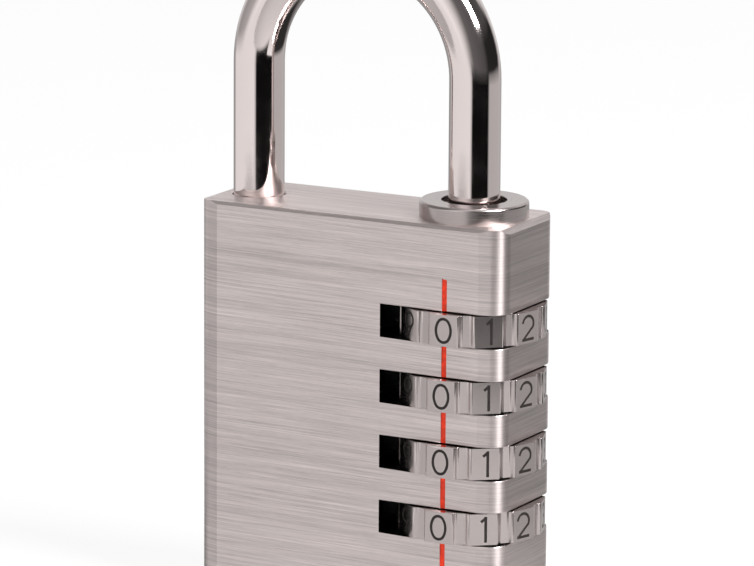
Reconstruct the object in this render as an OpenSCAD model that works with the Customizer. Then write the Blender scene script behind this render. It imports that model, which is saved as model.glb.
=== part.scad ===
// Four-dial combination padlock for luggage, with a round sliding shackle.
// The long leg of the shackle is also the spindle that the dials and their code sleeves turn on.
// Origin: centre of the underside. +X points to the dials, -Y is the front, +Z runs up to the shackle.

/* [Body] */
// Width of the body, side to side
body_w = 40; // [40:0.5:44]
// Thickness of the body, front to back
body_d = 14.5; // [14.3:0.1:15]
// Height of the body, without the shackle
body_h = 47; // [46.5:0.5:52]
// Width that the flats on the upright corners take off the front and back
corner_w = 2.85; // [2:0.05:3.2]
// Depth that the same flats take off the sides
corner_d = 0.85; // [0.7:0.05:1.2]
// Radius that blends each flat into the side
corner_r = 2.3; // [1.5:0.1:2.5]
// Chamfer along the front and back of the top and bottom faces
edge_chamfer = 0.35; // [0.2:0.05:0.5]
// Chamfer along the sides of the top and bottom faces
side_chamfer = 0.6; // [0.2:0.05:0.8]
// Width of the engraved index line on the front
index_w = 0.65; // [0.4:0.05:0.9]
// Depth of the engraved index line
index_depth = 0.25; // [0.2:0.05:0.3]

/* [Shackle] */
// Distance between the centres of the two legs
leg_span = 28.4; // [26:0.1:29]
// Straight length of the legs above the body
leg_h = 15.8; // [12:0.1:50]
// Depth that the short leg's tip reaches into the body
toe_depth = 6.3; // [5.6:0.1:6.5]
// Outside diameter of the bushing's collar
collar_d = 12.7; // [11:0.1:13]
// Height of the bushing's collar
collar_h = 2; // [1.2:0.1:2.5]

/* [Dials] */
// Distance from one dial to the next, which is also the shackle's lift
dial_pitch = 7.75; // [7.7:0.05:7.9]
// Radius of a dial at the corners of its number pads
dial_r = 8.65; // [8.4:0.05:8.8]
// Height of a dial
dial_h = 3.7; // [3.6:0.05:3.75]
// Angle that a number pad takes up; the grooves take the rest
pad_angle = 24; // [22:0.5:26]
// Depth of the grooves between the number pads
groove_depth = 0.45; // [0.4:0.05:0.7]
// Depth of the engraved numbers
digit_depth = 0.15; // [0.1:0.05:0.25]
// Width of a number's strokes
digit_stroke = 0.33; // [0.25:0.01:0.4]

/* [Reset] */
// Distance that the code sleeves drop to let go of the dials
reset_travel = 1.6; // [1.5:0.05:1.65]

/* [Hidden] */
$fn = 64;
over = 1;                 // how far a cutting shape runs past the face that it opens
step = 36;                // angle from one number to the next

// The dial axis is as far from the right side as from the front and back
axis_x = body_w / 2 - body_d / 2 + 0.05;
toe_x = axis_x - leg_span;

// Dial slots: flat round pockets about the dial axis, centred in the body's height
slot_h = 3.95;
slot_r = 11.05;
first_z = body_h / 2 + 1.5 * dial_pitch;
index_end = 6.15;         // from the end of the index line to the body's end
paint_t = 0.12;           // thickness of the paint on the index line's floor

// Dial: flat pads and trapezoid grooves outside, a notched ring inside
groove_floor_angle = 4;   // half the angle of a groove's floor
bore_r = 5.3;             // bore of the body and of the dials
ring_r = 4.65;            // inside radius of the notched ring
ring_z = [0.35, 1.65];    // the ring's underside and top, above mid-height of the dial
notch_w = 1.45;

// Code sleeve: toothed outside, one gated flange inside
hub_h = 7.6;
hub_r = 4.55;
tooth_r = 5.15;
tooth_w = 1.3;
tooth_z = [0.4, 1.6];     // the teeth's underside and top, above mid-height of the dial
relief_r = 3.15;          // inside radius, where the lugs stand clear
flange_h = 1.5;
flange_bore_r = 2.3;
gate_w = 2.1;
gate_angle = 90;          // the gates point to the back when the set number shows

// Shackle rod and spindle
rod_r = 3;
core_r = 2.2;
lug_w = 1.5;
lug_h = 1.5;
lug_gap = reset_travel + 0.15;
arch_r = leg_span / 2;
rod_tip_chamfer = 0.5;
rod_end_z = first_z + hub_h / 2 + 0.4;
toe_hole_r = 3.15;
toe_sink_r = 3.35;
toe_sink_h = 0.2;

// Clip at the spindle's end: it meets the lowest flange when the shackle is fully up
clip_h = 0.8;
clip_r = 3.05;
clip_groove_r = 1.7;
last_z = first_z - 3 * dial_pitch;
flange_z = hub_h / 2 - flange_h;
clip_top = last_z + flange_z - dial_pitch - 0.05;
spindle_end_z = clip_top - clip_h - 0.7;

// Bushing in the top of the body
bushing_bore_r = 3.08;
bushing_sleeve_r = 4;
bushing_sleeve_h = 6;
collar_chamfer = 0.25;
collar_sink_r = 3.8;      // counterbore in the collar
collar_sink_h = 1.6;

// Thrust washers, reset spring and base plug
washer_h = 0.6;
washer_r = 5.25;
upper_washer_z = first_z + hub_h / 2 + 0.05;
bore_top = upper_washer_z + washer_h + 0.02;
lower_washer_z = last_z - hub_h / 2 - 0.05 - washer_h;
plug_r = 6;
plug_h = 2.95;
plug_inset = 0.15;
wire_r = 0.3;
coil_r = 4.45;
coil_turns = 4;
coil_z = [plug_h + wire_r + 0.02, lower_washer_z - wire_r - 0.02];
pin_r = 0.75;
pin_z = 1.55;
pin_reach = -3.5;         // the pin runs from the back face to this Y

// Leaf strip and its upright channel, on the side of the dials away from the right face
channel_x = [1.4, 3.6];
channel_w = 3;
channel_top = first_z + dial_pitch / 2 + 1.5;
channel_plug_h = 2.4;
leaf_t = 0.3;
leaf_w = 2.6;
nose_h = 2.6;
nose_tip_x = axis_x - dial_r + 0.25;
nose_w = [2.2, 0.3];      // a nose's width at its foot and at its tip

// Where each dial comes to rest, within the play of its detent
rest_turn = [3.5, 2, 1.7, 0.6];

function dial_z(k) = first_z - (k - 1) * dial_pitch;
function polar(r, a) = [r * cos(a), r * sin(a)];
function pad_face() = dial_r * cos(pad_angle / 2);

// Outline of a dial: two corners per pad, two per groove floor
dial_outline = [
  for (i = [0:9]) let (a = -90 + step * i, floor_r = dial_r - groove_depth)
    each [
      polar(dial_r, a - pad_angle / 2),
      polar(dial_r, a + pad_angle / 2),
      polar(floor_r, a + step / 2 - groove_floor_angle),
      polar(floor_r, a + step / 2 + groove_floor_angle)
    ]
];

// ---------- numbers ----------

// Stroke along a circular arc about the origin
module arc(r, from, to) {
  intersection() {
    difference() {
      circle(r + digit_stroke / 2);
      circle(r - digit_stroke / 2);
    }
    polygon([[0, 0], for (i = [0:8]) polar(3 * r, from + (to - from) * i / 8)]);
  }
}

// Closed round stroke
module ring(r) {
  difference() {
    circle(r + digit_stroke / 2);
    circle(r - digit_stroke / 2);
  }
}

// Straight stroke between two points
module bar(a, b) {
  translate(a)
    rotate(atan2(b[1] - a[1], b[0] - a[0]))
      translate([0, -digit_stroke / 2])
        square([norm(b - a), digit_stroke]);
}

module six() {
  translate([0, -0.53]) ring(0.835);
  bar([-0.74, -0.2], [0.35, 1.5]);
}

// One number, centred on the origin and about 2.2 wide and 3.1 high
module digit(n) {
  if (n == 0) {
    for (a = [0, 180]) rotate(a) {
      translate([0, 0.615]) arc(0.75, 30.9, 149.1);
      translate([-1.027, 0]) arc(1.947, -31, 31);
    }
  }
  if (n == 1) {
    bar([0.3, -1.53], [0.3, 1.53]);
    bar([-0.25, 0.9], [0.35, 1.4]);
  }
  if (n == 2) {
    translate([0, 0.445]) arc(0.92, -35, 172);
    bar([0.82, 0.02], [-0.82, -1.35]);
    bar([-1, -1.365], [1, -1.365]);
  }
  if (n == 3) {
    translate([0, 0.72]) arc(0.645, -90, 165);
    translate([0, -0.645]) arc(0.72, -165, 90);
  }
  if (n == 4) {
    bar([0.45, -1.53], [0.45, 1.53]);
    bar([0.4, 1.4], [-0.9, -0.6]);
    bar([-1.02, -0.65], [1, -0.65]);
  }
  if (n == 5) {
    bar([-0.85, 1.365], [0.85, 1.365]);
    bar([-0.75, 1.4], [-0.75, 0.05]);
    translate([0, -0.53]) arc(0.835, -150, 140);
  }
  if (n == 6) six();
  if (n == 7) {
    bar([-1, 1.365], [1, 1.365]);
    bar([0.88, 1.4], [-0.3, -1.53]);
  }
  if (n == 8) {
    translate([0, 0.72]) ring(0.645);
    translate([0, -0.645]) ring(0.72);
  }
  if (n == 9) rotate(180) six();
}

// All ten numbers round a dial, each a plate standing out from the engraving's floor
module digits(plate_h) {
  for (i = [0:9])
    rotate(-90 + step * i)
      translate([pad_face() - digit_depth, 0, 0])
        rotate([90, 0, 90])
          linear_extrude(plate_h)
            digit(i);
}

// ---------- shared shapes ----------

module tube(outer, inner, h) {
  difference() {
    cylinder(h = h, r = outer);
    translate([0, 0, -over]) cylinder(h = h + 2 * over, r = inner);
  }
}

// Side view of a plate of the body's height, chamfered top and bottom, running through in Y
module profile(half, c) {
  rotate([90, 0, 0]) linear_extrude(body_w + 2 * over, center = true) polygon([
    [-half + c, 0], [half - c, 0], [half, c], [half, body_h - c],
    [half - c, body_h], [-half + c, body_h], [-half, body_h - c], [-half, c]
  ]);
}

// One corner of the plan: a flat, then an arc that blends it into the side
corner_half = atan(corner_w / corner_d) / 2;
corner_run = corner_r * tan(corner_half);
corner_arc = [body_w / 2 - corner_r, body_d / 2 - corner_d - corner_run];
corner_points = [
  [body_w / 2 - corner_w, body_d / 2],
  corner_arc + polar(corner_r, 2 * corner_half),
  corner_arc + [corner_r, 0]
];
function corner(sx, sy, order) = [
  for (i = order) [sx * corner_points[i][0], sy * corner_points[i][1]]
];

// Solid block: the plan run up to the body's height, then chamfered top and bottom
module block() {
  intersection() {
    union() {
      linear_extrude(body_h) polygon(concat(
        corner(1, 1, [2, 1, 0]), corner(-1, 1, [0, 1, 2]),
        corner(-1, -1, [2, 1, 0]), corner(1, -1, [0, 1, 2])
      ));
      for (sx = [-1, 1], sy = [-1, 1]) translate([sx * corner_arc[0], sy * corner_arc[1], 0])
        cylinder(h = body_h, r = corner_r);
    }
    profile(body_w / 2, side_chamfer);
    rotate(90) profile(body_d / 2, edge_chamfer);
  }
}

// ---------- casing ----------

module index_groove(depth) {
  translate([axis_x - index_w / 2, -body_d / 2, index_end])
    cube([index_w, depth, body_h - 2 * index_end]);
}

module dial_slots(r) {
  for (k = [1:4]) translate([axis_x, 0, dial_z(k) - slot_h / 2]) cylinder(h = slot_h, r = r);
}

module body() {
  color([0.72, 0.71, 0.70]) difference() {
    block();
    dial_slots(slot_r);
    translate([axis_x, 0, plug_h - 0.01]) cylinder(h = bore_top - plug_h + 0.01, r = bore_r);
    translate([axis_x, 0, -over]) cylinder(h = plug_h + over, r = plug_r);
    translate([axis_x, 0, body_h / 2]) cylinder(h = body_h, r = bushing_bore_r);
    translate([axis_x, 0, body_h - bushing_sleeve_h])
      cylinder(h = bushing_sleeve_h + over, r = bushing_sleeve_r + 0.02);
    translate([toe_x, 0, body_h - toe_depth - 0.05]) cylinder(h = toe_depth + over, r = toe_hole_r);
    translate([toe_x, 0, body_h - toe_sink_h])
      cylinder(h = toe_sink_h + 0.01, r1 = toe_hole_r, r2 = toe_sink_r);
    translate([channel_x[0], -channel_w / 2, -over])
      cube([channel_x[1] - channel_x[0], channel_w, channel_top + over]);
    translate([0, -0.01, 0]) index_groove(index_depth + 0.01);
    translate([axis_x, body_d / 2 + over, pin_z]) rotate([90, 0, 0])
      cylinder(h = body_d / 2 + over, r = pin_r);
  }
}

module shackle_bushing() {
  c = collar_chamfer;
  r = collar_d / 2;
  color([0.80, 0.79, 0.78]) translate([axis_x, 0, body_h]) rotate_extrude()
    polygon([
      [bushing_bore_r, -bushing_sleeve_h], [bushing_sleeve_r, -bushing_sleeve_h],
      [bushing_sleeve_r, 0], [r, 0], [r, collar_h - c], [r - c, collar_h],
      [collar_sink_r, collar_h], [collar_sink_r, collar_h - collar_sink_h],
      [bushing_bore_r, collar_h - collar_sink_h]
    ]);
}

module index_line() {
  color([0.85, 0.12, 0.05]) difference() {
    translate([0, index_depth - paint_t, 0]) index_groove(paint_t);
    dial_slots(slot_r);
  }
}

module base_plug() {
  color([0.66, 0.65, 0.63]) difference() {
    translate([axis_x, 0, plug_inset]) cylinder(h = plug_h - plug_inset, r = plug_r - 0.02);
    translate([axis_x, body_d / 2, pin_z]) rotate([90, 0, 0])
      cylinder(h = body_d / 2 - pin_reach, r = pin_r);
  }
}

module plug_pin() {
  back = body_d / 2 - 0.1;
  color([0.55, 0.55, 0.56]) translate([axis_x, back, pin_z]) rotate([90, 0, 0])
    cylinder(h = back - pin_reach, r = pin_r - 0.02);
}

module channel_plug() {
  gap = 0.03;
  color([0.66, 0.65, 0.63]) translate([channel_x[0] + gap, -channel_w / 2 + gap, plug_inset])
    cube([channel_x[1] - channel_x[0] - 2 * gap, channel_w - 2 * gap, channel_plug_h - plug_inset]);
}

// ---------- springs and washers ----------

module upper_washer() {
  color([0.62, 0.62, 0.63]) translate([axis_x, 0, upper_washer_z])
    tube(washer_r, relief_r, washer_h);
}

module lower_washer() {
  color([0.62, 0.62, 0.63]) translate([axis_x, 0, lower_washer_z])
    tube(washer_r - 0.05, relief_r + 0.05, washer_h);
}

// Coil with flat end turns: the pitch is taken up by the turns between them
coil_sides = 8;
coil_steps = 20;
coil_n = coil_turns * coil_steps;
function coil_rise(t) = min(max((t - 0.75) / (coil_turns - 1.5), 0), 1);
function coil_point(i, j) = let (
    t = i / coil_steps,
    z = coil_z[0] + (coil_z[1] - coil_z[0]) * coil_rise(t),
    r = coil_r + wire_r * cos(360 * j / coil_sides)
  ) [r * cos(360 * t), r * sin(360 * t), z + wire_r * sin(360 * j / coil_sides)];

module reset_spring() {
  points = [for (i = [0:coil_n], j = [0:coil_sides - 1]) coil_point(i, j)];
  sides = [
    for (i = [0:coil_n - 1], j = [0:coil_sides - 1])
      let (n = (j + 1) % coil_sides, a = i * coil_sides, b = a + coil_sides)
        [a + j, a + n, b + n, b + j]
  ];
  first_cap = [for (j = [coil_sides - 1:-1:0]) j];
  last_cap = [for (j = [0:coil_sides - 1]) coil_n * coil_sides + j];
  color([0.5, 0.5, 0.52]) translate([axis_x, 0, 0])
    polyhedron(points, concat(sides, [first_cap, last_cap]));
}

// Flat strip with a folded nose for each dial, resting in the groove that faces it
module detent_spring() {
  x = channel_x[0] + 0.1;
  foot = x + leaf_t;
  color([0.45, 0.46, 0.5]) {
    translate([x, -leaf_w / 2, channel_plug_h + 0.1])
      cube([leaf_t, leaf_w, channel_top - channel_plug_h - 0.3]);
    for (k = [1:4]) translate([0, 0, dial_z(k) - nose_h / 2]) linear_extrude(nose_h) difference() {
      polygon([
        [foot - 0.05, -nose_w[0] / 2], [nose_tip_x, -nose_w[1] / 2],
        [nose_tip_x, nose_w[1] / 2], [foot - 0.05, nose_w[0] / 2]
      ]);
      polygon([[foot, 0.3 - nose_w[0] / 2], [nose_tip_x - leaf_t, 0], [foot, nose_w[0] / 2 - 0.3]]);
    }
  }
}

// ---------- shackle ----------

module shackle() {
  arch_z = body_h + leg_h;
  toe_z = body_h - toe_depth;
  color([0.86, 0.86, 0.87]) difference() {
    union() {
      translate([toe_x + arch_r, 0, arch_z]) rotate([90, 0, 0]) rotate_extrude(angle = 180)
        translate([arch_r, 0]) circle(rod_r);
      translate([toe_x, 0, toe_z + rod_tip_chamfer])
        cylinder(h = arch_z - toe_z - rod_tip_chamfer, r = rod_r);
      translate([toe_x, 0, toe_z])
        cylinder(h = rod_tip_chamfer, r1 = rod_r - rod_tip_chamfer, r2 = rod_r);
      translate([axis_x, 0, rod_end_z]) cylinder(h = arch_z - rod_end_z, r = rod_r);
      translate([axis_x, 0, spindle_end_z]) cylinder(h = rod_end_z - spindle_end_z, r = core_r);
      for (k = [1:4]) translate([axis_x, 0, dial_z(k) + flange_z - lug_gap - lug_h]) lug();
    }
    translate([axis_x, 0, clip_top - clip_h - 0.02]) tube(core_r + over, clip_groove_r, clip_h + 0.04);
  }
}

// One lug of the spindle, as wide as the gates let through
module lug() {
  intersection() {
    cylinder(h = lug_h, r = rod_r);
    rotate(gate_angle) translate([0, -lug_w / 2, -over]) cube([rod_r + over, lug_w, lug_h + 2 * over]);
  }
}

module shackle_clip() {
  mouth = 2.4;
  color([0.4, 0.4, 0.42]) translate([axis_x, 0, clip_top - clip_h]) difference() {
    tube(clip_r, clip_groove_r + 0.03, clip_h);
    rotate(gate_angle + 180) translate([0, -mouth / 2, -over]) cube([rod_r + over, mouth, clip_h + 2 * over]);
  }
}

// ---------- dials and code sleeves ----------

module dial(k) {
  color([0.78, 0.77, 0.76]) translate([axis_x, 0, dial_z(k)]) rotate(rest_turn[k - 1]) difference() {
    linear_extrude(dial_h, center = true) polygon(dial_outline);
    cylinder(h = dial_h + 2 * over, r = ring_r, center = true);
    translate([0, 0, -dial_h / 2 - over]) cylinder(h = dial_h / 2 + over + ring_z[0], r = bore_r);
    translate([0, 0, ring_z[1]]) cylinder(h = dial_h, r = bore_r);
    for (i = [0:9]) rotate(step * i) translate([ring_r - 0.5, -notch_w / 2, 0])
      cube([bore_r - ring_r + 0.4, notch_w, dial_h]);
    digits(digit_depth + over);
  }
}

module dial_digits(k) {
  color([0.06, 0.06, 0.06]) translate([axis_x, 0, dial_z(k)]) rotate(rest_turn[k - 1])
    digits(digit_depth - 0.02);
}

module hub(k) {
  color([0.78, 0.63, 0.32]) translate([axis_x, 0, dial_z(k)]) rotate(rest_turn[k - 1]) difference() {
    union() {
      cylinder(h = hub_h, r = hub_r, center = true);
      for (i = [0:9]) rotate(step * i) translate([hub_r - 0.3, -tooth_w / 2, tooth_z[0]])
        cube([tooth_r - hub_r + 0.3, tooth_w, tooth_z[1] - tooth_z[0]]);
    }
    translate([0, 0, -hub_h / 2 - over]) cylinder(h = hub_h / 2 + over + flange_z, r = relief_r);
    cylinder(h = hub_h + 2 * over, r = flange_bore_r, center = true);
    rotate(gate_angle) translate([0, -gate_w / 2, 0]) cube([relief_r - 0.05, gate_w, hub_h]);
  }
}

body();
shackle_bushing();
index_line();
base_plug();
plug_pin();
channel_plug();
upper_washer();
lower_washer();
reset_spring();
detent_spring();
shackle();
shackle_clip();
dial(1);  // dial_1
dial(2);  // dial_2
dial(3);  // dial_3
dial(4);  // dial_4
dial_digits(1);  // dial_1_digits
dial_digits(2);  // dial_2_digits
dial_digits(3);  // dial_3_digits
dial_digits(4);  // dial_4_digits
hub(1);  // hub_1
hub(2);  // hub_2
hub(3);  // hub_3
hub(4);  // hub_4
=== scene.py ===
"""Looks for the four-dial luggage padlock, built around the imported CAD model."""

import math

import bmesh
import bpy
from mathutils import Matrix, Vector


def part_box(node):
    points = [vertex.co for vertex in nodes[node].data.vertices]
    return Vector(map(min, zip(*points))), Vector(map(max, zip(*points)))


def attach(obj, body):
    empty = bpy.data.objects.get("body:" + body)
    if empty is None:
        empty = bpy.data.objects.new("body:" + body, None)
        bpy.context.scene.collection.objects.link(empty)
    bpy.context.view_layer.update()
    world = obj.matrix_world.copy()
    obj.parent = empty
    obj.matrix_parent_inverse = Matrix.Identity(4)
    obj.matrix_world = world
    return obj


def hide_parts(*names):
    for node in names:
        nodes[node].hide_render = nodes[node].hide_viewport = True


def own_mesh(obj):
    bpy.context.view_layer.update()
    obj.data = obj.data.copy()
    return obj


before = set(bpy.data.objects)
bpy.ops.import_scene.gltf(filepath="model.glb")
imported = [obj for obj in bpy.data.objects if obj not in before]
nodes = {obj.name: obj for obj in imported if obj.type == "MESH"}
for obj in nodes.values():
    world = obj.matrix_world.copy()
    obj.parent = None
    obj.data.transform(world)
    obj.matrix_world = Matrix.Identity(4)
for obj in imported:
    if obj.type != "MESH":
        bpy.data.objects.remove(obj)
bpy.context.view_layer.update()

MM = 0.001
DIALS = ("dial_1", "dial_2", "dial_3", "dial_4")


def axis_of(node):
    """Middle of a node's box."""
    low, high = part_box(node)
    return (low + high) / 2


def outward(azimuth, elevation):
    """Direction out from the padlock; azimuth from its front, + to its right."""
    level = math.cos(elevation)
    return Vector((math.sin(azimuth) * level, -math.cos(azimuth) * level, math.sin(elevation)))


# ---------- camera ----------

VIEW_AZIMUTH = math.radians(28.15)
VIEW_ELEVATION = math.radians(11.95)
VIEW_ROLL = math.radians(0.35)
VIEW_DISTANCE = 0.6583
AIM_SIDE = 0.18 * MM          # right of the body's middle
AIM_BELOW = 9.22 * MM         # under the body's top
LENS = 269.8
SENSOR = 36.0


def make_camera():
    """A long lens at the photograph's angle, aimed just under the top of the body."""
    low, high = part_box("body")
    aim = Vector((AIM_SIDE, 0.0, high.z - AIM_BELOW))
    back = outward(VIEW_AZIMUTH, VIEW_ELEVATION)
    level = Vector((math.cos(VIEW_AZIMUTH), math.sin(VIEW_AZIMUTH), 0.0))
    raised = back.cross(level)
    right = math.cos(VIEW_ROLL) * level + math.sin(VIEW_ROLL) * raised
    up = back.cross(right)
    data = bpy.data.cameras.new("camera")
    data.lens = LENS
    data.sensor_width = SENSOR
    data.clip_start = 0.01
    data.clip_end = 20.0
    camera = bpy.data.objects.new("camera", data)
    turn = Matrix((right, up, back)).transposed().to_4x4()
    camera.matrix_world = Matrix.Translation(aim + VIEW_DISTANCE * back) @ turn
    bpy.context.scene.collection.objects.link(camera)
    bpy.context.scene.camera = camera


make_camera()
bpy.context.scene.view_settings.view_transform = "Standard"

# ---------- shader building ----------


def put(tree, kind, inputs=None, **settings):
    """Adds a node; an input is given either a value or another node's socket."""
    node = tree.nodes.new("ShaderNode" + kind)
    for key, value in settings.items():
        setattr(node, key, value)
    for key, value in (inputs or {}).items():
        if isinstance(value, bpy.types.NodeSocket):
            tree.links.new(value, node.inputs[key])
        else:
            node.inputs[key].default_value = value
    return node


def maths(tree, operation, *values):
    """One step of arithmetic, as an output socket."""
    return put(tree, "Math", dict(enumerate(values)), operation=operation).outputs[0]


def place_on(tree):
    """A point's place in its object, as a vector."""
    return put(tree, "TexCoord").outputs["Object"]


def parts_of(tree, vector):
    """A vector's X, Y and Z, by name."""
    return put(tree, "SeparateXYZ", {0: vector}).outputs


def length_of(tree, x, y):
    """Length of a level vector, as an output socket."""
    return maths(tree, "SQRT", maths(tree, "MULTIPLY_ADD", x, x, maths(tree, "MULTIPLY", y, y)))


def remap(tree, value, low, high, to_low, to_high):
    """Takes a value from one range to another, clamped at its ends."""
    inputs = {"Value": value, "From Min": low, "From Max": high, "To Min": to_low, "To Max": to_high}
    return put(tree, "MapRange", inputs).outputs["Result"]


def ramp(tree, value, stops):
    """A grey colour ramp through (position, level) stops."""
    node = put(tree, "ValToRGB", {"Fac": value})
    elements = node.color_ramp.elements
    while len(elements) < len(stops):
        elements.new(0.5)
    for element, (position, level) in zip(elements, stops):
        element.position = position
        element.color = (level, level, level, 1.0)
    return node.outputs["Color"]


def noise(tree, vector, scale, detail, roughness=0.5):
    """Noise over a vector, as a value round 0.5."""
    inputs = {"Vector": vector, "Scale": scale, "Detail": detail, "Roughness": roughness}
    return put(tree, "TexNoise", inputs).outputs[0]


def tint(tree, level, colour):
    """A colour multiplied by a level."""
    inputs = {0: colour, 1: level}
    return put(tree, "VectorMath", inputs, operation="MULTIPLY").outputs[0]


# ---------- studio ----------

# Brightness round the padlock, as (angle from the front in degrees, + to its right; level), in
# four rings: well below eye level, just below it, above it, and high up
FLOOR_RING = (
    (-180, 0.30), (-112, 0.34), (-95, 0.80), (-10, 0.90), (4, 0.74), (13, 0.50), (22, 0.06),
    (76, 0.05), (92, 0.03), (155, 0.03), (180, 0.30),
)
EYE_RING = (
    (-180, 0.45), (-140, 0.32), (-112, 0.36), (-98, 0.84), (4, 0.90), (11, 0.60), (16, 0.005),
    (86, 0.004), (94, 0.50), (150, 0.52), (165, 0.52), (180, 0.45),
)
UPPER_RING = (
    (-180, 0.75), (-130, 0.78), (-100, 0.34), (-62, 0.46), (-38, 1.0), (-12, 1.0), (3, 0.72),
    (16, 0.35), (26, 0.14), (76, 0.08), (92, 0.02), (161, 0.02), (170, 0.65), (180, 0.75),
)
HIGH_RING = (
    (-180, 0.76), (-130, 0.74), (-105, 0.20), (-44, 0.20), (-28, 0.95), (4, 0.92), (16, 0.35),
    (26, 0.14), (76, 0.08), (100, 0.06), (142, 0.10), (154, 0.84), (180, 0.76),
)
TENT_TOP = (0.9, 0.9, 0.9, 1.0)

# Heights, as the sine of the elevation, between which one ring gives way to the next, and the
# last one to the tent's top
RING_CHANGES = ((-0.34, -0.26), (-0.14, -0.04), (0.26, 0.42), (0.92, 0.99))

# White paper under the padlock, as reflections see it
PAPER_CENTRE = (-0.04, -0.11, 0.0)
PAPER_EDGE = (0.135, 0.165)   # it fades out between these distances from its centre
PAPER_GLARE = 0.42            # share of its light that they show

# A strip of it beside the padlock that they go on seeing: its two sides, each as the angles
# round the dials' axis over which it fades, and its far end
CARD_START = (math.radians(56), math.radians(59))
CARD_STOP = (math.radians(84), math.radians(90))
CARD_EDGE = (0.185, 0.200)

FLOOR_HALF = 4.0
PAPER_TONE = (0.93, 0.97)
PAPER_GLOW = 0.9              # share of even white in the paper as the camera sees it
LIGHT_AIM = (0.0, 0.0, 0.035)


def make_world():
    """A light tent with a black panel to the front right and a grey one to the back right."""
    world = bpy.data.worlds.new("studio")
    world.use_nodes = True
    tree = world.node_tree
    tree.nodes.clear()
    direction = parts_of(tree, put(tree, "TexCoord").outputs["Generated"])
    turn = maths(tree, "ARCTAN2", direction["X"], maths(tree, "MULTIPLY", direction["Y"], -1.0))
    angle = maths(tree, "MULTIPLY_ADD", turn, 1 / (2 * math.pi), 0.5)
    rings = [
        ramp(tree, angle, [((degrees + 180) / 360, level) for degrees, level in ring])
        for ring in (FLOOR_RING, EYE_RING, UPPER_RING, HIGH_RING)
    ]
    tent, *higher = rings
    for change, above in zip(RING_CHANGES, (*higher, TENT_TOP)):
        share = remap(tree, direction["Z"], *change, 0.0, 1.0)
        tent = put(tree, "MixRGB", {0: share, 1: tent, 2: above}).outputs[0]
    light = put(tree, "Background", {"Color": tent, "Strength": 1.0}).outputs[0]
    paper = put(tree, "Background", {"Color": (1.0, 1.0, 1.0, 1.0), "Strength": 1.0}).outputs[0]
    seen = put(tree, "LightPath").outputs["Is Camera Ray"]
    mixed = put(tree, "MixShader", {0: seen, 1: light, 2: paper}).outputs[0]
    put(tree, "OutputWorld", {"Surface": mixed})
    bpy.context.scene.world = world


def area_light(name, azimuth, elevation, distance, size, power):
    """A soft rectangular light aimed at the middle of the padlock; angles as for the rings."""
    away = outward(math.radians(azimuth), math.radians(elevation))
    data = bpy.data.lights.new(name, "AREA")
    data.shape = "RECTANGLE"
    data.size, data.size_y = size
    data.energy = power
    light = bpy.data.objects.new(name, data)
    light.location = Vector(LIGHT_AIM) + distance * away
    light.rotation_euler = away.to_track_quat("Z", "Y").to_euler()
    bpy.context.scene.collection.objects.link(light)


def make_floor():
    """White paper under the padlock; past its edge, reflections see the studio instead."""
    paper = bpy.data.meshes.new("floor")
    half = FLOOR_HALF
    corners = [(-half, -half, 0), (half, -half, 0), (half, half, 0), (-half, half, 0)]
    paper.from_pydata(corners, [], [(0, 1, 2, 3)])
    material = bpy.data.materials.new("paper")
    material.use_nodes = True
    tree = material.node_tree
    tree.nodes.clear()
    place = place_on(tree)
    grain = remap(tree, noise(tree, place, 900.0, 3.0), 0.0, 1.0, *PAPER_TONE)
    rays = put(tree, "LightPath").outputs
    level = maths(tree, "MULTIPLY", grain, remap(tree, rays["Is Glossy Ray"], 0.0, 1.0, 1.0, PAPER_GLARE))
    matt = put(tree, "BsdfDiffuse", {"Color": tint(tree, level, (1.0, 1.0, 1.0))}).outputs[0]
    glow = put(tree, "Emission", {"Color": (1.0, 1.0, 1.0, 1.0), "Strength": 1.0}).outputs[0]
    share = maths(tree, "MULTIPLY", rays["Is Camera Ray"], PAPER_GLOW)
    sheet = put(tree, "MixShader", {0: share, 1: matt, 2: glow}).outputs[0]
    reach = put(tree, "VectorMath", {0: place, 1: PAPER_CENTRE}, operation="DISTANCE").outputs["Value"]
    past = maths(tree, "MULTIPLY", remap(tree, reach, *PAPER_EDGE, 0.0, 1.0), rays["Is Glossy Ray"])
    spot = parts_of(tree, place)
    aside = maths(tree, "SUBTRACT", spot["X"], axis_of("dial_1").x)
    turn = maths(tree, "ARCTAN2", aside, maths(tree, "MULTIPLY", spot["Y"], -1.0))
    away = length_of(tree, aside, spot["Y"])
    card = remap(tree, turn, *CARD_START, 0.0, 1.0)
    card = maths(tree, "MULTIPLY", card, remap(tree, turn, *CARD_STOP, 1.0, 0.0))
    card = maths(tree, "MULTIPLY", card, remap(tree, away, *CARD_EDGE, 1.0, 0.0))
    past = maths(tree, "MULTIPLY", past, maths(tree, "SUBTRACT", 1.0, card))
    clear = put(tree, "BsdfTransparent").outputs[0]
    mixed = put(tree, "MixShader", {0: past, 1: sheet, 2: clear}).outputs[0]
    put(tree, "OutputMaterial", {"Surface": mixed})
    paper.materials.append(material)
    floor = bpy.data.objects.new("floor", paper)
    bpy.context.scene.collection.objects.link(floor)


make_world()
area_light("key", azimuth=80, elevation=42, distance=0.60, size=(0.20, 0.30), power=7.1)
make_floor()

# ---------- materials ----------


def metal(name, colour, roughness):
    """A metal to be finished by its own function; colour and roughness are its plain values."""
    material = bpy.data.materials.new(name)
    material.use_nodes = True
    tree = material.node_tree
    shader = tree.nodes["Principled BSDF"]
    shader.inputs["Base Color"].default_value = (*colour, 1.0)
    shader.inputs["Metallic"].default_value = 1.0
    shader.inputs["Roughness"].default_value = roughness
    return material, tree, shader


def wire(tree, shader, **links):
    """Links sockets to the shader; underscores stand for spaces."""
    for key, socket in links.items():
        tree.links.new(socket, shader.inputs[key.replace("_", " ")])


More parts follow.
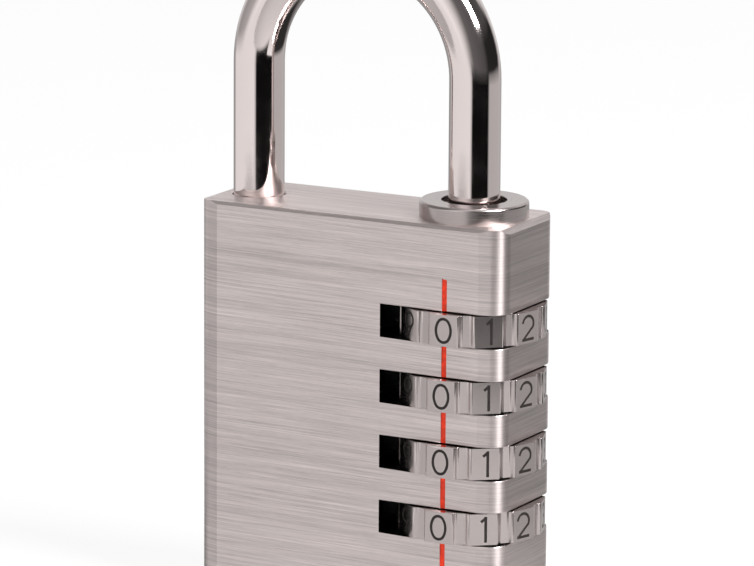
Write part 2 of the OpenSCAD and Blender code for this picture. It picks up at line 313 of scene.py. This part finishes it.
def bump(tree, height, distance, strength):
    """Relief from a height, as a normal."""
    inputs = {"Height": height, "Distance": distance, "Strength": strength}
    return put(tree, "Bump", inputs).outputs["Normal"]


def upright_spread(tree):
    """The tangent with which a level grain spreads its highlights up and down."""
    return put(tree, "CombineXYZ", {0: 0.0, 1: 0.01, 2: 1.0}).outputs[0]


# Pinkish tint: the plating's own warmth together with the studio light's colour cast, painted into the
# metals.
WARM_LIGHT_CAST = (1.0, 0.889, 0.868)


def warm(level):
    """The padlock's plated metals share one warm grey, at different levels; its pinkish tint is partly the
    plating's own and partly the studio light's colour cast painted into their colour.
    """
    return tuple(level * channel for channel in WARM_LIGHT_CAST)


def streaks(tree, along, across, layers):
    """Brush marks: noise drawn out along one coordinate, summed over (length, width, share) in mm."""
    total = 0.0
    for index, (length, width, share) in enumerate(layers):
        spot = put(tree, "CombineXYZ", {
            0: maths(tree, "MULTIPLY", along, 1 / (length * MM)),
            1: maths(tree, "MULTIPLY", across, 1 / (width * MM)),
            2: 3.7 * index,
        }).outputs[0]
        total = maths(tree, "MULTIPLY_ADD", noise(tree, spot, 1.0, 2.0, 0.6), share, total)
    return total


SQUARE_ON = 0.9               # a face whose normal has this much of a direction faces that way
END_FACES = 2 * MM            # the body's top and bottom faces lie within this of its ends


def slot_shade_mask(tree, part, facing):
    """1 on the dial slots' own faces, their level ledges and their round back walls, where painted shade
    goes.
    """
    low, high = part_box("body")
    ledge = maths(tree, "GREATER_THAN", maths(tree, "ABSOLUTE", facing["Z"]), SQUARE_ON)
    for limit, operation in ((low.z + END_FACES, "GREATER_THAN"), (high.z - END_FACES, "LESS_THAN")):
        ledge = maths(tree, "MULTIPLY", ledge, maths(tree, operation, part["Z"], limit))
    x = maths(tree, "SUBTRACT", part["X"], axis_of("dial_1").x)
    radius = length_of(tree, x, part["Y"])
    away = maths(tree, "MULTIPLY_ADD", x, facing["X"], maths(tree, "MULTIPLY", part["Y"], facing["Y"]))
    wall = maths(tree, "LESS_THAN", maths(tree, "DIVIDE", away, radius), -SQUARE_ON)
    return maths(tree, "MAXIMUM", ledge, wall)


# Brush marks as (length, width, share), lengths in mm
BODY_GRAIN = ((9.0, 0.10, 0.24), (26.0, 0.30, 0.24), (4.0, 0.05, 0.20), (1.1, 0.05, 0.14), (45.0, 1.4, 0.18))
BODY_SCRATCH = ((16.0, 0.16, 1.0),)
COLLAR_GRAIN = ((1.0, 0.06, 0.6), (1.0, 0.25, 0.4))
DIAL_GRAIN = ((3.0, 0.07, 0.4), (8.0, 0.25, 0.2))


def brushed_nickel():
    """Satin nickel with its grain running level round the body and along the top, and painted shade almost
    black inside the dial slots.
    """
    colour = warm(0.75)
    material, tree, shader = metal("brushed_nickel", colour, 0.36)
    part = parts_of(tree, place_on(tree))
    facing = parts_of(tree, put(tree, "NewGeometry").outputs["Normal"])
    flat = maths(tree, "GREATER_THAN", maths(tree, "ABSOLUTE", facing["Z"]), 0.8)
    across = maths(tree, "ADD", part["Z"], maths(tree, "MULTIPLY", part["Y"], flat))
    along = maths(tree, "MULTIPLY_ADD", part["Y"], 0.7, part["X"])
    tilted = maths(tree, "MULTIPLY_ADD", part["X"], 0.012, across)
    grain = streaks(tree, along, tilted, BODY_GRAIN)
    scratch = streaks(tree, along, tilted, BODY_SCRATCH)
    marks = maths(tree, "ADD", remap(tree, scratch, 0.60, 0.72, 0.0, 0.22),
                  remap(tree, scratch, 0.28, 0.40, -0.20, 0.0))
    shade = maths(tree, "ADD", remap(tree, grain, 0.38, 0.62, 0.74, 1.20), marks)
    # Painted shade: the slots' ledges and back walls are darkened nearly to black, as if in shadow.
    slot_shade = slot_shade_mask(tree, part, facing)
    shade = maths(tree, "MULTIPLY", shade, remap(tree, slot_shade, 0.0, 1.0, 1.0, 0.01))
    wire(tree, shader, Base_Color=tint(tree, shade, colour),
         Roughness=maths(tree, "MAXIMUM", remap(tree, grain, 0.38, 0.62, 0.42, 0.33),
                         maths(tree, "MULTIPLY", slot_shade, 0.6)),
         Normal=bump(tree, grain, 0.008 * MM, 0.7),
         Tangent=upright_spread(tree))
    shader.inputs["Anisotropic"].default_value = 0.75
    return material


COLLAR_BORE_SHADE = (3.7 * MM, 3.82 * MM)   # painted shade: dark within the first radius, plain past the second


def polished_nickel():
    """Plated collar with fine turning marks round its axis, and painted shade darkening its bore round the
    rod.
    """
    colour = warm(0.54)
    material, tree, shader = metal("polished_nickel", colour, 0.22)
    part = parts_of(tree, place_on(tree))
    x = maths(tree, "SUBTRACT", part["X"], axis_of("shackle_bushing").x)
    radius = length_of(tree, x, part["Y"])
    rings = streaks(tree, 0.0, maths(tree, "ADD", radius, part["Z"]), COLLAR_GRAIN)
    # Painted shade in the gap between the collar and the rod.
    bore = remap(tree, radius, *COLLAR_BORE_SHADE, 0.10, 1.0)
    shade = maths(tree, "MULTIPLY", bore, remap(tree, rings, 0.35, 0.65, 0.9, 1.06))
    wire(tree, shader, Roughness=remap(tree, rings, 0.35, 0.65, 0.30, 0.18),
         Base_Color=tint(tree, shade, colour),
         Normal=bump(tree, rings, 0.002 * MM, 0.5))
    return material


def chrome_rod():
    """Mirror chrome with faint handling marks."""
    material, tree, shader = metal("chrome_rod", warm(0.83), 0.05)
    place = place_on(tree)
    smears = noise(tree, place, 260.0, 4.0)
    pits = noise(tree, place, 3000.0, 2.0)
    wire(tree, shader, Roughness=remap(tree, smears, 0.35, 0.75, 0.04, 0.12),
         Normal=bump(tree, pits, 0.0012 * MM, 0.5))
    return material


def dial_metal():
    """Satin nickel with a faint level grain."""
    colour = warm(0.73)
    material, tree, shader = metal("dial_metal", colour, 0.2)
    place = place_on(tree)
    part = parts_of(tree, place)
    along = maths(tree, "MULTIPLY_ADD", part["Y"], 0.7, part["X"])
    grain = streaks(tree, along, part["Z"], DIAL_GRAIN)
    cloud = noise(tree, place, 1400.0, 3.0)
    mixed = maths(tree, "MULTIPLY_ADD", cloud, 0.12, maths(tree, "MULTIPLY", grain, 0.88))
    wire(tree, shader, Roughness=remap(tree, mixed, 0.35, 0.65, 0.20, 0.12),
         Base_Color=tint(tree, remap(tree, mixed, 0.35, 0.65, 0.90, 1.08), colour),
         Normal=bump(tree, mixed, 0.003 * MM, 0.5),
         Tangent=upright_spread(tree))
    shader.inputs["Anisotropic"].default_value = 0.2
    return material


def enamel(name, colour, roughness):
    """Paint wiped into an engraving, slightly uneven."""
    material, tree, shader = metal(name, colour, roughness)
    shader.inputs["Metallic"].default_value = 0.0
    shader.inputs["Specular IOR Level"].default_value = 0.25
    place = place_on(tree)
    uneven = noise(tree, place, 2600.0, 3.0)
    wire(tree, shader, Base_Color=tint(tree, remap(tree, uneven, 0.3, 0.7, 0.75, 1.2), colour),
         Roughness=remap(tree, uneven, 0.3, 0.7, roughness - 0.08, roughness + 0.12),
         Normal=bump(tree, uneven, 0.02 * MM, 0.4))
    return material


TURNING_SCALE = (200.0, 200.0, 9000.0)   # marks per metre along each axis


def turned(name, colour, roughness):
    """Machined metal with fine level turning marks."""
    material, tree, shader = metal(name, colour, roughness)
    place = place_on(tree)
    squeezed = put(tree, "Mapping", {"Vector": place, "Scale": TURNING_SCALE}).outputs[0]
    marks = noise(tree, squeezed, 1.0, 2.0)
    wire(tree, shader, Base_Color=tint(tree, remap(tree, marks, 0.3, 0.7, 0.85, 1.1), colour),
         Roughness=remap(tree, marks, 0.3, 0.7, roughness - 0.06, roughness + 0.1),
         Normal=bump(tree, marks, 0.003 * MM, 0.5))
    return material


finishes = {
    brushed_nickel(): ("body",),
    polished_nickel(): ("shackle_bushing",),
    chrome_rod(): ("shackle",),
    dial_metal(): DIALS,
    enamel("black_enamel", (0.018, 0.014, 0.013), 0.42): tuple(f"{dial}_digits" for dial in DIALS),
    enamel("red_enamel", (0.74, 0.036, 0.008), 0.4): ("index_line",),
    turned("brass_sleeve", (0.72, 0.50, 0.22), 0.3): tuple(f"hub_{number}" for number in range(1, 5)),
    turned("zinc_steel", (0.50, 0.49, 0.48), 0.35): (
        "base_plug", "plug_pin", "channel_plug", "upper_washer", "lower_washer"),
    # Painted shade: these inner steel parts are coloured nearly black, so what shows of them in the slots
    # reads as shadow.
    turned("spring_steel", (0.030, 0.030, 0.033), 0.45): (
        "reset_spring", "detent_spring", "shackle_clip"),
}
for material, names in finishes.items():
    for name in names:
        nodes[name].data.materials.clear()
        nodes[name].data.materials.append(material)

# ---------- eased edges ----------

# Copies of the CAD solids whose edges are rounded over, as tumbling and handling leave them

WELD = 0.001 * MM             # vertices closer than this are one
FLAT = math.radians(0.4)      # faces that turn less than this are one
SHARP = math.radians(12)      # edges that turn more than this can be rounded, or stay crisp
ALIKE = 0.01 * MM             # places closer than this are the same
ON_WALL = 0.05 * MM           # points this near a slot's back wall are on it

# Rounded edges as (width, steps)
PAD_ROUND = (0.20 * MM, 4)
RIM_ROUND = (0.09 * MM, 3)
COLLAR_ROUND = (0.10 * MM, 3)


def radius_at(point, axis):
    """Level distance of a point from an upright axis."""
    return math.hypot(point.x - axis.x, point.y - axis.y)


def turn_of(edge):
    """Angle between an edge's two faces."""
    return edge.calc_face_angle(0.0)


def joined(mesh):
    """A mesh as an editable form, with its vertices joined up."""
    form = bmesh.new()
    form.from_mesh(mesh)
    bmesh.ops.remove_doubles(form, verts=form.verts, dist=WELD)
    return form


def shown(name, mesh, form):
    """An object of the form, which is closed into its mesh."""
    form.to_mesh(mesh)
    form.free()
    piece = bpy.data.objects.new(name, mesh)
    bpy.context.scene.collection.objects.link(piece)
    return piece


def eased(node, body, passes):
    """Rounds over the edges that each pass picks, and stands for the CAD node."""
    mesh = nodes[node].data.copy()
    mesh.name = f"{node}_eased"
    shading = [layer.name for layer in mesh.attributes
               if "normal" in layer.name or layer.name.startswith("sharp")]
    for name in shading:
        mesh.attributes.remove(mesh.attributes[name])
    form = joined(mesh)
    bmesh.ops.dissolve_limit(form, angle_limit=FLAT, verts=form.verts, edges=form.edges)
    for face in form.faces:
        face.smooth = True
    for edge in form.edges:
        edge.smooth = turn_of(edge) < SHARP
    for pick, width, steps in passes:
        edges = [edge for edge in form.edges if turn_of(edge) > SHARP and pick(edge)]
        bmesh.ops.bevel(form, geom=edges, offset=width, offset_type="OFFSET", segments=steps,
                        profile=0.5, affect="EDGES", clamp_overlap=True)
    bmesh.ops.dissolve_degenerate(form, dist=WELD, edges=form.edges)
    for face in form.faces:
        face.smooth = True
    piece = shown(f"{node}_eased", mesh, form)
    weights = piece.modifiers.new("normals", "WEIGHTED_NORMAL")
    weights.keep_sharp = True
    weights.weight = 90
    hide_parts(node)
    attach(piece, body)


def ease_dial(dial):
    """Rounds the corners of the pads and grooves, then both rims."""
    axis = axis_of(dial)
    low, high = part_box(dial)
    half = (high.z - low.z) / 2
    outside = 0.85 * (high.y - low.y) / 2   # the pads and grooves lie past this radius

    def upright(edge):
        start, end = (vert.co for vert in edge.verts)
        return abs(start.z - end.z) > 1.9 * half and radius_at(start, axis) > outside

    def rim(edge):
        return all(abs(vert.co.z - axis.z) > 0.99 * half and radius_at(vert.co, axis) > outside
                   for vert in edge.verts)

    eased(dial, dial, ((upright, *PAD_ROUND), (rim, *RIM_ROUND)))


def ease_body():
    """Rounds the rims of the dial slots."""
    axis = axis_of("dial_1")
    low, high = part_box("body")
    # Edges within the first radius are the bore's and stay as they are; the second is the radius of
    # the slots' round back wall, from the body's vertices near its middle plane
    bore = (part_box("dial_1")[1].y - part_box("dial_1")[0].y) / 2 * 0.7
    points = [vert.co for vert in nodes["body"].data.vertices]
    wall = max(radius_at(point, axis) for point in points if abs(point.y) < 1 * MM
               and 5 * MM < point.z < high.z - 5 * MM and point.x > low.x + 20 * MM)

    def rim(edge):
        ends = [vert.co for vert in edge.verts]
        start, end = ends
        if not all(4 * MM < point.z < high.z - 4 * MM for point in ends) or radius_at(start, axis) < bore:
            return False
        if abs(start.z - end.z) > ALIKE:
            return abs(abs(start.y) - high.y) < ALIKE and abs(radius_at(start, axis) - wall) < ON_WALL
        levels = sorted(abs(face.normal.z) for face in edge.link_faces)
        inner = all(abs(radius_at(point, axis) - wall) < ON_WALL for point in ends)
        return levels[0] < 0.3 and levels[-1] > 0.9 and not inner

    eased("body", "casing", ((rim, *RIM_ROUND),))


def ease_bushing():
    """Rounds the collar's edges."""
    axis = axis_of("shackle_bushing")
    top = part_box("body")[1].z

    def rim(edge):
        return all(vert.co.z > top + 0.1 * MM and radius_at(vert.co, axis) > 3.5 * MM
                   for vert in edge.verts)

    eased("shackle_bushing", "casing", ((rim, *COLLAR_ROUND),))


def press_spring():
    """The reset spring, whose coils close up as the hubs are pressed down onto it."""
    mesh = nodes["reset_spring"].data.copy()
    piece = shown("reset_spring_coil", mesh, joined(mesh))
    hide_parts("reset_spring")
    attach(piece, "casing")
    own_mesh(piece)


for dial in DIALS:
    ease_dial(dial)
ease_body()
ease_bushing()
press_spring()
